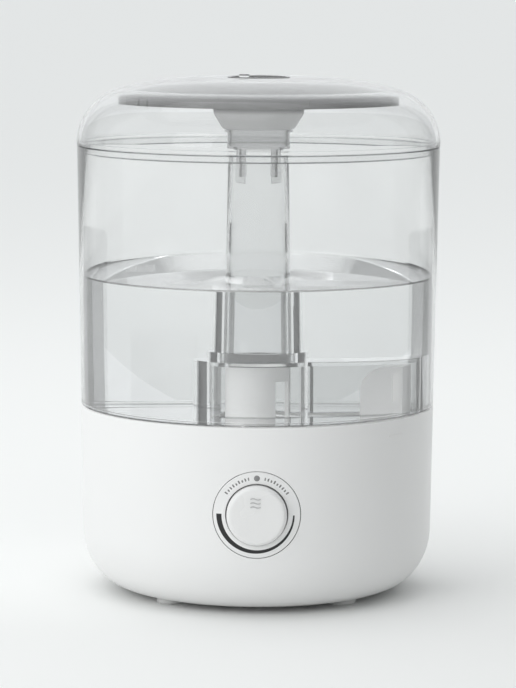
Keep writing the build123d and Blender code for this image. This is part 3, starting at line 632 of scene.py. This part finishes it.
well_radius = knob_radius + 0.55 * mm
well_wall = 1.5 * mm
well_depth = 8.0 * mm
plate_depth = 9.6 * mm
rim_depth = 2.4 * mm
band = [dial_radius - (dial_radius - well_radius) * step / 8 for step in range(9)]
face_outline = [(dial_radius, -rim_depth), (dial_radius, -0.25 * mm), (dial_radius - 0.2 * mm, 0.0)]
face_outline += [(radius, 0.0) for radius in band[1:-1]]
face_outline += [(well_radius, -0.2 * mm), (well_radius, -well_depth), (0, -well_depth), (0, -plate_depth)]
face_outline += [(well_radius + well_wall, -plate_depth), (well_radius + well_wall, -rim_depth)]
plate_mesh = front_turned(face_outline, closed=True)
lay_on_wall(plate_mesh)
dial_face = add_object("dial_face", plate_mesh)
print("dial radius", round(dial_radius / mm, 2), "mm at height", round(dial_z / mm, 2), "mm")


# %% Printed scale on the dial's plate
scale_radius = 17.3 * mm
scale_drift = 0.10 * mm
scale_half = 0.85 * mm
scale_taper = 0.27 * mm
scale_ends = (-1.60, 1.56)
row_inside = 16.5 * mm
row_outside = 17.9 * mm
row_swing = 0.30 * mm
row_waves = 41.0
row_strokes = 11.0
row_ends = (0.20, 1.02)
stroke_share = (0.18, 0.70)
stroke_strength = 0.8
ink_blur = 0.1 * mm
turn_blur = 0.02
ink_colour = (0.012, 0.012, 0.013, 1)


def dial_paint():
    """White plastic with a tapered black scale and two rows of fine marks beside the lamp."""
    material = white_abs.copy()
    material.name = "dial_print"
    material.node_tree.nodes["Principled BSDF"].inputs["Coat Weight"].default_value = 0.0
    tree = material.node_tree
    shader = tree.nodes["Principled BSDF"]
    skin = next(item for item in tree.nodes if item.bl_idname == "ShaderNodeGroup")
    spot = node(tree, "ShaderNodeSeparateXYZ")
    link(tree, node(tree, "ShaderNodeTexCoord").outputs["Object"], spot.inputs[0])
    across = maths(tree, "SUBTRACT", spot.outputs["X"], dial_x)
    up = maths(tree, "SUBTRACT", spot.outputs["Z"], dial_z)
    squares = maths(tree, "ADD", maths(tree, "POWER", across, 2), maths(tree, "POWER", up, 2))
    radius = maths(tree, "SQRT", squares)
    turn = maths(tree, "ARCTAN2", across, maths(tree, "MULTIPLY", up, -1))

    def between(value, low, high, blur):
        rise = maths(tree, "DIVIDE", maths(tree, "SUBTRACT", value, low), blur, True)
        fall = maths(tree, "DIVIDE", maths(tree, "SUBTRACT", high, value), blur, True)
        return maths(tree, "MULTIPLY", rise, fall)

    # The scale: widest at 9 o'clock, thinnest at 3 o'clock.
    middle = maths(tree, "SUBTRACT", scale_radius, maths(tree, "MULTIPLY", turn, scale_drift))
    half = maths(tree, "SUBTRACT", scale_half, maths(tree, "MULTIPLY", turn, scale_taper))
    off = maths(tree, "ABSOLUTE", maths(tree, "SUBTRACT", radius, middle))
    inside = maths(tree, "DIVIDE", maths(tree, "SUBTRACT", half, off), ink_blur, True)
    lower = between(turn, *scale_ends, turn_blur)
    scale_mark = maths(tree, "MULTIPLY", inside, lower)
    # Fine strokes either side of the lamp, where the functions are marked.
    from_top = maths(tree, "SUBTRACT", pi, maths(tree, "ABSOLUTE", turn))
    stroke = maths(tree, "FRACT", maths(tree, "MULTIPLY", from_top, row_strokes))
    strokes = between(stroke, *stroke_share, 0.08)
    swing = maths(tree, "SINE", maths(tree, "MULTIPLY", from_top, row_waves))
    wave = maths(tree, "MULTIPLY", swing, row_swing)
    row = between(radius, row_inside, maths(tree, "ADD", wave, row_outside), ink_blur)
    sector = between(from_top, *row_ends, turn_blur)
    fine_marks = maths(tree, "MULTIPLY", maths(tree, "MULTIPLY", strokes, row), sector)
    ink = maths(tree, "MAXIMUM", scale_mark, maths(tree, "MULTIPLY", fine_marks, stroke_strength), True)
    printed = node(tree, "ShaderNodeMix", data_type="RGBA")
    link(tree, ink, printed.inputs[0])
    link(tree, skin.outputs["Color"], printed.inputs[6])
    printed.inputs[7].default_value = ink_colour
    link(tree, printed.outputs[2], shader.inputs["Base Color"])
    return material


finish_piece(dial_face, "base", dial_paint(), ["dial_plate"])

# %% Knob and lamp lens
knob_front = -knob_low.y
knob_bevel = 1.4 * mm
knob_depth = 10.0 * mm
knob_outline = [
    (0, knob_front), (knob_radius * 0.5, knob_front - 0.02 * mm),
    (knob_radius - knob_bevel - 0.6 * mm, knob_front - 0.1 * mm),
    (knob_radius - knob_bevel + 0.3 * mm, knob_front - 0.35 * mm),
    (knob_radius - 0.35 * mm, knob_front - knob_bevel + 0.1 * mm),
    (knob_radius, knob_front - knob_bevel - 0.5 * mm),
    (knob_radius, knob_front - knob_depth), (0, knob_front - knob_depth),
]
knob_outline = eased(knob_outline, 0.5 * mm, closed=False)
knob = add_object("knob", front_turned(knob_outline))
finish_piece(knob, "knob", knob_white, ["knob_cap"], angle=60)

lens_low, lens_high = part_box("led_lens")
lens_radius = (lens_high.x - lens_low.x) / 2
lens_z = (lens_high.z + lens_low.z) / 2
lens_mesh = bmesh.new()
bmesh.ops.create_uvsphere(lens_mesh, u_segments=32, v_segments=16, radius=lens_radius)
bmesh.ops.rotate(lens_mesh, verts=lens_mesh.verts, matrix=Matrix.Rotation(radians(90), 3, "X"))
bmesh.ops.scale(lens_mesh, verts=lens_mesh.verts, vec=(1, 0.35, 1))
bmesh.ops.translate(lens_mesh, verts=lens_mesh.verts, vec=(dial_x, 0.1 * mm - wall_radius(lens_z), lens_z))
lens = add_object("lamp_lens", lens_mesh)
lens_grey = moulded("lens_grey", (0.22, 0.22, 0.22), 0.25, drift=0.1, coat=0.6)
finish_piece(lens, "base", lens_grey, ["led_lens"], angle=60)

# %% Three raised waves on the knob
wave_width = 4.7 * mm
wave_gap = 1.9 * mm
wave_top = 7.9 * mm
wave_swing = 0.28 * mm
wave_thick = 0.45 * mm
wave_rise = 0.6 * mm
wave_sunk = 0.25 * mm
wave_shift = 0.6 * mm
wave_steps = 24
for index in range(3):
    wave = bmesh.new()
    start_x = dial_x - wave_shift - wave_width / 2
    first = wave.verts.new((start_x, 0, dial_z + wave_top - wave_gap * index))
    bmesh.ops.spin(
        wave, geom=[first], cent=first.co, axis=(0, 1, 0), dvec=(wave_width / wave_steps, 0, 0), angle=0.0,
        steps=wave_steps,
    )
    path = sorted(wave.verts, key=lambda vert: vert.co.x)
    for step, vert in enumerate(path):
        vert.co.z += wave_swing * sin(2 * pi * step / wave_steps)
    side = bmesh.ops.extrude_edge_only(wave, edges=wave.edges[:])["geom"]
    upper = [item for item in side if isinstance(item, bmesh.types.BMVert)]
    bmesh.ops.translate(wave, verts=upper, vec=(0, 0, wave_thick))
    bmesh.ops.translate(wave, verts=wave.verts, vec=(0, -knob_front + wave_sunk, 0))
    faces = bmesh.ops.extrude_face_region(wave, geom=wave.faces[:])["geom"]
    raised = [item for item in faces if isinstance(item, bmesh.types.BMVert)]
    bmesh.ops.translate(wave, verts=raised, vec=(0, -wave_rise, 0))
    face_outwards(wave)
    piece = add_object("knob_wave_" + str(index + 1), wave)
    # The waves' grey finish is painted shade.
    finish_piece(piece, "knob", wave_shade_grey)

# %% [markdown]
# ## The clear tank
# The tank's wall is one thin clear cone with a rounded lip. Its floor, with the air chamber moulded in it,
# is welded in just above the base's rim. Refraction in the wall and in the water does the rest, so the
# skins are clean and never touch: where two clear skins lie on each other the light has no right answer.

# %% Tank wall and mist tube
wall_low, wall_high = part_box("tank_shell")
tank_wall = 2.1 * mm
seam_z = wall_high.z
tank_top_radius = wall_high.x
weld_z = wall_low.z
weld_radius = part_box("tank_floor")[1].x
hair = 0.06 * mm


def tank_radius(height):
    """Radius of the tank's outside at a height."""
    return weld_radius + (tank_top_radius - weld_radius) * (height - weld_z) / (seam_z - weld_z)


tank_outline = eased([
    (weld_radius, weld_z + hair), (tank_top_radius, seam_z), (tank_top_radius - tank_wall, seam_z),
    (weld_radius - tank_wall, weld_z + hair),
], 0.5 * mm)
tank = add_object("tank_wall", turned_mesh(tank_outline))
finish_piece(tank, "tank", clear_tank, ["tank_shell"])

tube_low, tube_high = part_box("mist_tube")
tube_foot_radius = tube_high.x
tube_top_radius = 14.7 * mm
tube_wall = 2.0 * mm
tube_outline = eased([
    (tube_foot_radius, tube_low.z + hair), (tube_top_radius, tube_high.z),
    (tube_top_radius - tube_wall, tube_high.z),
    (tube_foot_radius - tube_wall, tube_low.z + hair),
], 0.6 * mm)
tube = add_object("mist_tube_clear", turned_mesh(tube_outline, 128))
finish_piece(tube, "tank", clear_tank, ["mist_tube"])


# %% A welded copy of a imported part
def welded_copy(part, name):
    """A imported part's skin with its loose triangles joined, so that it shades smoothly."""
    mesh = bmesh.new()
    mesh.from_mesh(frame["nodes"][part].data)
    bmesh.ops.remove_doubles(mesh, verts=mesh.verts, dist=2e-6)
    return add_object(name, mesh)


welded_angle = 25
floor_clear = welded_copy("tank_floor", "tank_floor_clear")
finish_piece(floor_clear, "tank", clear_floor, ["tank_floor"], welded_angle)
for part in ("mist_cowl", "air_tower"):
    finish_piece(welded_copy(part, part + "_white"), "base", inner_white_glow, [part], welded_angle)

# %% [markdown]
# ## The water
# The tank is about half full. The water is a solid of its own that stays a hair inside the clear
# wall, with the chamber, the collar and the tube cut out of it, and a small rise where it meets the wall.

# %% Water
water_z = 153.0 * mm
skin_gap = 0.25 * mm
floor_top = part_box("valve_cage")[1].z
chamber_top = tube_low.z
chamber_radius = 23.0 * mm
channel_half = 13.0 * mm
channel_end = 66.0 * mm
channel_corner = 6.0 * mm
collar_radius = tube_foot_radius + 1.9 * mm
collar_height = 4.0 * mm
creep = 1.1 * mm
cut_depth = 9.0 * mm


def inner_radius(height):
    return tank_radius(height) - tank_wall - skin_gap


water_outline = [(0, floor_top + skin_gap), (inner_radius(floor_top), floor_top + skin_gap)]
water_outline += [(inner_radius(water_z + creep), water_z + creep)]
water_outline += [
    (inner_radius(water_z) - 2.5 * creep * share, water_z + creep * (1 - share) ** 3)
    for share in (0.15, 0.3, 0.5, 0.75, 1.0)
]
water_outline += [(0, water_z)]
water = add_object("water", turned_mesh(water_outline, closed=False))
cut_low = floor_top - cut_depth
cut_high = chamber_top + skin_gap
cut(water, rod("chamber_cut", chamber_radius + skin_gap, (0, 0, cut_low), (0, 0, cut_high), 128))

bar = bmesh.new()
bmesh.ops.create_cube(bar, size=1)
bar_end = channel_end + skin_gap
bar_half = channel_half + skin_gap
bar_height = cut_high - cut_low
bmesh.ops.scale(bar, verts=bar.verts, vec=(bar_end, 2 * bar_half, bar_height))
bmesh.ops.translate(bar, verts=bar.verts, vec=(bar_end / 2, 0, cut_high - bar_height / 2))
upright = [
    edge for edge in bar.edges
    if all(vert.co.x > bar_end / 2 for vert in edge.verts)
    and abs(edge.verts[0].co.z - edge.verts[1].co.z) > mm
]
bmesh.ops.bevel(
    bar, geom=upright, offset=channel_corner, offset_type="OFFSET", segments=12, profile=0.5, affect="EDGES",
    material=-1,
)
cut(water, add_object("channel_cut", bar))
tube_cut = [
    (0, chamber_top - 3 * mm), (collar_radius + skin_gap, chamber_top - 3 * mm),
    (collar_radius + skin_gap, chamber_top + collar_height + skin_gap),
    (tube_foot_radius + skin_gap, chamber_top + collar_height + skin_gap),
    (tube_top_radius + skin_gap + 0.9 * mm, water_z + 5 * mm), (0, water_z + 5 * mm),
]
cut(water, add_object("tube_cut", turned_mesh(tube_cut, 128, closed=False)))
finish_piece(water, "tank", water_clear)

# %% [markdown]
# ## The lid
# The dome's section is a rounded shoulder that runs into a shallow crown, with a ring below that drops
# into the tank. The grey plate under it follows the same line a little lower, and turns down into a
# funnel. Both come from one function, so they stay parallel.

# %% Lid dome
dome_low, dome_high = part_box("lid_dome")
lid_radius = dome_high.x
lid_edge = seam_z + 0.3 * mm
lid_top = dome_high.z - 1.0 * mm
lid_wall = 2.0 * mm
shoulder_reach = 27.4 * mm
shoulder_rise = 27.8 * mm
shoulder_turn = 77.0
outlet_radius = 13.3 * mm
outlet_lip = 0.5 * mm
shoulder_steps = 30
crown_steps = 26


def dome_line(inset):
    """Radius and height pairs along the dome's surface, from its rim to the outlet."""
    centre = (lid_radius - shoulder_reach, lid_edge)
    reach = shoulder_reach - inset
    rise = shoulder_rise - inset
    points = ellipse_points(centre, reach, rise, 0, shoulder_turn, shoulder_steps)
    start = Vector(points[-1])
    slope = (Vector(points[-1]) - Vector(points[-2])).normalized()
    end = Vector((outlet_radius, lid_top - outlet_lip - inset))
    bend = start + slope * (start.x - end.x) * 0.5
    for step in range(1, crown_steps + 1):
        share = step / crown_steps
        point = start * (1 - share) ** 2 + bend * 2 * share * (1 - share) + end * share ** 2
        points.append(tuple(point))
    return points


skirt_radius = tank_top_radius - tank_wall - 0.4 * mm
skirt_wall = 1.6 * mm
outside = dome_line(0)
inside = [point for point in dome_line(lid_wall) if point[1] > lid_edge + 1.7 * mm]
lip_round = [
    (outlet_radius + 1.8 * mm, outside[-1][1] + 0.1 * mm), (outlet_radius + 1.5 * mm, lid_top),
    (outlet_radius + 0.3 * mm, lid_top), (outlet_radius, lid_top - 0.3 * mm),
]
outside = [point for point in outside if point[0] > outlet_radius + 2.2 * mm]
inside = [point for point in inside if point[0] > outlet_radius + 0.2 * mm]
dome_outline = outside + lip_round + [(outlet_radius, inside[-1][1])] + inside[::-1]
dome_outline += eased([
    (inside[0][0], lid_edge + 1.6 * mm), (skirt_radius - skirt_wall, lid_edge + 1.6 * mm),
    (skirt_radius - skirt_wall, dome_low.z), (skirt_radius, dome_low.z), (skirt_radius, lid_edge),
    (lid_radius - 0.1 * mm, lid_edge),
], 0.4 * mm, closed=False)
dome = add_object("dome", turned_mesh(dome_outline))
finish_piece(dome, "lid", clear_lid, ["lid_dome"])

nub_mesh = bmesh.new()
bmesh.ops.create_cube(nub_mesh, size=1)
bmesh.ops.scale(nub_mesh, verts=nub_mesh.verts, vec=(5.0 * mm, 2.0 * mm, 1.5 * mm))
bmesh.ops.bevel(
    nub_mesh, geom=nub_mesh.edges[:], offset=0.6 * mm, offset_type="OFFSET", segments=4, profile=0.5,
    affect="EDGES", material=-1,
)
nub_x = -7.0 * mm
nub_y = -sqrt((outlet_radius + 0.9 * mm) ** 2 - nub_x ** 2)
bmesh.ops.translate(nub_mesh, verts=nub_mesh.verts, vec=(nub_x, nub_y, lid_top + 0.8 * mm))
finish_piece(add_object("lid_nub", nub_mesh), "lid", clear_lid)

# %% Lid plate with its funnel
plate_low, plate_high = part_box("lid_plate")
plate_radius = plate_high.x
plate_wall = 1.7 * mm
plate_inset = lid_wall + 0.8 * mm
funnel_low = plate_low.z
funnel_radius = 23.0 * mm
bend_radius = 21.7 * mm
bend_z = funnel_low + 8.2 * mm
cup_radius = 18.1 * mm
nozzle_radius = 15.2 * mm
skirt_height = 4.1 * mm

roof_top = [point for point in dome_line(plate_inset) if funnel_radius < point[0] < plate_radius - 0.4 * mm]
roof_under = [
    point for point in dome_line(plate_inset + plate_wall)
    if funnel_radius < point[0] < plate_radius - plate_wall
]
edge_z = roof_top[0][1] - 0.35 * mm
mouth_z = roof_top[-1][1]
funnel_outline = [(plate_radius - plate_wall, edge_z - skirt_height), (plate_radius, edge_z - skirt_height)]
funnel_outline += [(plate_radius, edge_z)] + roof_top
funnel_outline += [
    (funnel_radius - plate_wall, mouth_z), (bend_radius - plate_wall, bend_z + 0.4 * mm),
    (cup_radius - plate_wall, funnel_low + 2.0 * mm), (nozzle_radius - 0.4 * mm, funnel_low + hair),
    (nozzle_radius + 1.8 * mm, funnel_low + hair), (cup_radius, funnel_low + 1.5 * mm), (bend_radius, bend_z),
    (funnel_radius, mouth_z - plate_wall - 0.8 * mm),
]
funnel_outline += roof_under[::-1]
plate = add_object("grey_plate", turned_mesh(eased(funnel_outline, 0.35 * mm)))
finish_piece(plate, "lid", smoke_plate, ["lid_plate"])

# %% Catches on the plate's skirt
catch_turns = (-56, -50, 20, 110, 116, 200)
footed_turns = (20, 200)
catch_height = 3.4 * mm
catch_y = -plate_radius - 0.5 * mm
catch_z = edge_z - 0.6 * skirt_height
foot_height = 0.9 * mm
catch_mesh = bmesh.new()
for turn in catch_turns:
    made = bmesh.ops.create_cube(catch_mesh, size=1)["verts"]
    bmesh.ops.scale(catch_mesh, verts=made, vec=(0.9 * mm, 1.2 * mm, catch_height))
    bmesh.ops.translate(catch_mesh, verts=made, vec=(0, catch_y, catch_z))
    if turn in footed_turns:
        foot = bmesh.ops.create_cube(catch_mesh, size=1)["verts"]
        bmesh.ops.scale(catch_mesh, verts=foot, vec=(5.5 * mm, 1.2 * mm, foot_height))
        foot_place = (-3.2 * mm, catch_y, catch_z - catch_height / 2 + foot_height / 2)
        bmesh.ops.translate(catch_mesh, verts=foot, vec=foot_place)
        made += foot
    bmesh.ops.rotate(catch_mesh, verts=made, matrix=Matrix.Rotation(radians(turn), 3, "Z"))
bmesh.ops.bevel(
    catch_mesh, geom=catch_mesh.edges[:], offset=0.15 * mm, offset_type="OFFSET", segments=2, profile=0.5,
    affect="EDGES", material=-1,
)
finish_piece(add_object("plate_catches", catch_mesh), "lid", smoke_plate)

# %% Nozzle
nozzle = welded_copy("lid_nozzle", "grey_nozzle")
finish_piece(nozzle, "lid", smoke_nozzle, ["lid_nozzle"], welded_angle)

# %% [markdown]
# ## The parts inside
# Boards, fan, float and screws show only when the tank is lifted or the base is opened, but each
# has the finish that it has on the bench.

# %% Finishes of the inner parts
inner_finishes = {
    "black_plastic": moulded("black_plastic", (0.02, 0.02, 0.021), 0.45, drift=0.2, bump=0.05),
    "component_black": moulded("component_black", (0.03, 0.03, 0.032), 0.5, drift=0.2, bump=0.05),
    "circuit_board": moulded("circuit_board", (0.02, 0.13, 0.05), 0.35, drift=0.5, grain_scale=500, bump=0.1),
    "copper_winding": moulded(
        "copper_winding", (0.60, 0.26, 0.10), 0.3, drift=0.3, grain_scale=1800, metallic=1.0
    ),
    "screw_steel": moulded("screw_steel", (0.52, 0.52, 0.54), 0.35, drift=0.2, metallic=1.0, bump=0.05),
    "bright_steel": moulded("bright_steel", (0.62, 0.62, 0.63), 0.22, drift=0.15, metallic=1.0),
    "disc_steel": moulded("disc_steel", (0.68, 0.68, 0.69), 0.18, drift=0.1, metallic=1.0),
    "heat_aluminium": moulded("heat_aluminium", (0.66, 0.67, 0.68), 0.4, drift=0.1, metallic=1.0, bump=0.05),
    "ferrite": moulded("ferrite", (0.03, 0.03, 0.03), 0.55, drift=0.4, bump=0.1),
    "white_abs": white_abs,
    "white_rubber": foot_rubber,
    "seal_silicone": moulded("seal_silicone", (0.62, 0.62, 0.60), 0.5, drift=0.08),
    "filter_foam": moulded("filter_foam", (0.02, 0.02, 0.02), 0.95, drift=0.6, grain_scale=900, bump=0.8),
    "float_foam": moulded("float_foam", (0.70, 0.70, 0.68), 0.8, drift=0.15, grain_scale=1500, bump=0.3),
    "led_epoxy": moulded("led_epoxy", (0.8, 0.8, 0.7), 0.2, drift=0.05),
    "switch_glass": clear("switch_glass", (0.8, 0.92, 0.86), 0.02, 1.5),
    "lead_black": moulded("lead_black", (0.015, 0.015, 0.015), 0.5, drift=0.2),
    "lead_red": moulded("lead_red", (0.45, 0.02, 0.015), 0.5, drift=0.1),
    "lead_white": moulded("lead_white", (0.65, 0.65, 0.63), 0.5, drift=0.1),
}
painted = 0
for subpart in frame["record"]["subparts"]:
    part = frame["nodes"][subpart["node"]]
    if part.hide_render:
        continue
    part.data.materials.clear()
    part.data.materials.append(inner_finishes[subpart["material_slot"]])
    painted += 1
print("packed parts with a new finish:", painted)
